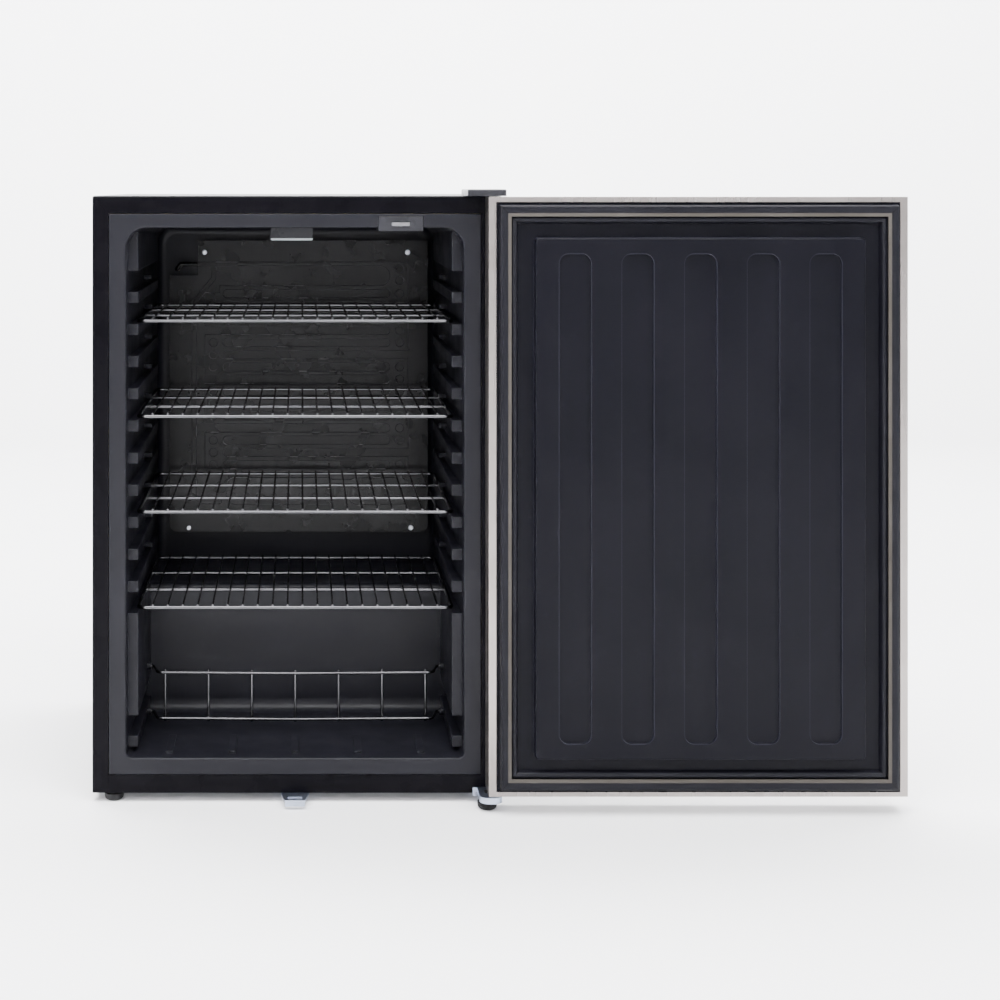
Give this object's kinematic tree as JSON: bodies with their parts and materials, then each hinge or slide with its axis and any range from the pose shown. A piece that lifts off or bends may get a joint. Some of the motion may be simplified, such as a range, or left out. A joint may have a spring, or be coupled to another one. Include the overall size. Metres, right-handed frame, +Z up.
{
  "type": "mini fridge",
  "caption": "Free-standing compact refrigerator with a black cabinet, stainless door hinged on the right, wire shelves, cold plate at the back and a raised step over the compressor.",
  "frame": {"origin": "on the floor, midway between the cabinet sides, in the plane of its front flange", "axes": "+X to the right seen from the front, +Y from the front to the back, +Z up"},
  "size_m": [1.0884, 0.5266, 0.831],
  "materials": {
    "black_paint": "satin",
    "galvanised": "satin",
    "stainless": "brushed",
    "zinc": "satin",
    "screw_steel": "satin",
    "liner_plastic": "satin",
    "door_plastic": "satin",
    "foam": "matte",
    "evaporator": "matte",
    "spacer_plastic": "matte",
    "black_wire": "gloss",
    "control_plastic": "gloss",
    "wheel_plastic": "gloss",
    "board": "matte",
    "lens": "frosted",
    "gasket": "matte",
    "magnet": "matte",
    "nylon": "matte",
    "lock_metal": "polished",
    "foot_plastic": "matte",
    "compressor_paint": "gloss",
    "grommet": "matte",
    "copper": "satin",
    "condenser_paint": "satin",
    "tray_plastic": "matte"
  },
  "bodies": {
    "cabinet": {"back_panel": "black_paint", "base_pan": "galvanised", "bottle_guard": "black_wire", "bottom_hinge_bracket": "zinc", "cabinet_screws": "screw_steel", "capillary_tube": "copper", "compartment_panel": "galvanised", "compressor_bolts": "screw_steel", "compressor_grommets": "grommet", "compressor_mount_plate": "galvanised", "compressor_shell": "compressor_paint", "condenser_clips": "nylon", "condenser_tube": "condenser_paint", "condenser_wires": "condenser_paint", "control_housing": "control_plastic", "cord_gland": "tray_plastic", "drain_tube": "tray_plastic", "drip_tray": "tray_plastic", "evaporator_joint_tube": "evaporator", "evaporator_plate": "evaporator", "evaporator_screws": "screw_steel", "evaporator_standoffs": "spacer_plastic", "filter_drier": "copper", "foot_insert": "galvanised", "front_rail": "black_paint", "guard_pegs": "liner_plastic", "hinge_backing": "galvanised", "hinge_pins": "zinc", "hinge_screws": "screw_steel", "inner_liner": "liner_plastic", "insulation_foam": "foam", "lamp_board": "board", "lamp_housing": "control_plastic", "lamp_lens": "lens", "lock_keeper": "zinc", "outer_wrap": "black_paint", "rear_feet": "foot_plastic", "rear_rail": "black_paint", "starter_box": "tray_plastic", "suction_tube": "copper", "thermostat_body": "spacer_plastic", "top_hinge_bracket": "zinc", "top_hinge_cover": "control_plastic"},
    "door": {"door_skin": "stainless", "door_liner": "door_plastic", "door_foam": "foam", "door_gasket": "gasket", "gasket_magnets": "magnet", "hinge_bushes": "nylon", "door_handle": "stainless", "handle_screws": "screw_steel", "lock_housing": "lock_metal"},
    "lock_plug": {"lock_cam": "lock_metal"},
    "thermostat_dial": {"thermostat_wheel": "wheel_plastic"},
    "top_shelf": {"wire_shelf_1": "black_wire"},
    "upper_middle_shelf": {"wire_shelf_2": "black_wire"},
    "lower_middle_shelf": {"wire_shelf_3": "black_wire"},
    "bottom_shelf": {"wire_shelf_4": "black_wire"},
    "front_left_foot": {"levelling_foot_left": "foot_plastic"},
    "front_right_foot": {"levelling_foot_right": "foot_plastic"}
  },
  "joints": [
    {"name": "door_hinge", "type": "hinge", "parent": "cabinet", "child": "door", "pos_m": [0.2677, -0.03, 0.42], "axis": [0, 0, 1], "range_deg": [-180, 0]},
    {"name": "lock_turn", "type": "hinge", "parent": "door", "child": "lock_plug", "pos_m": [0.5354, 0, 0.047], "axis": [0, -1, 0], "range_deg": [0, 90]},
    {"name": "thermostat_turn", "type": "hinge", "parent": "cabinet", "child": "thermostat_dial", "pos_m": [0.1435, 0.013, 0.7835], "axis": [0, 0, 1], "range_deg": [-135, 135]},
    {"name": "top_shelf_slide", "type": "slide", "parent": "cabinet", "child": "top_shelf", "axis": [0, -1, 0], "range_m": [0, 0.3]},
    {"name": "upper_middle_shelf_slide", "type": "slide", "parent": "cabinet", "child": "upper_middle_shelf", "axis": [0, -1, 0], "range_m": [0, 0.3]},
    {"name": "lower_middle_shelf_slide", "type": "slide", "parent": "cabinet", "child": "lower_middle_shelf", "axis": [0, -1, 0], "range_m": [0, 0.3]},
    {"name": "bottom_shelf_slide", "type": "slide", "parent": "cabinet", "child": "bottom_shelf", "axis": [0, -1, 0], "range_m": [0, 0.3]},
    {"name": "left_foot_turn", "type": "hinge", "parent": "cabinet", "child": "front_left_foot", "pos_m": [-0.2465, 0.015, 0.005], "axis": [0, 0, 1], "continuous": true},
    {"name": "right_foot_turn", "type": "hinge", "parent": "cabinet", "child": "front_right_foot", "pos_m": [0.258, -0.021, 0.005], "axis": [0, 0, 1], "continuous": true}
  ]
}
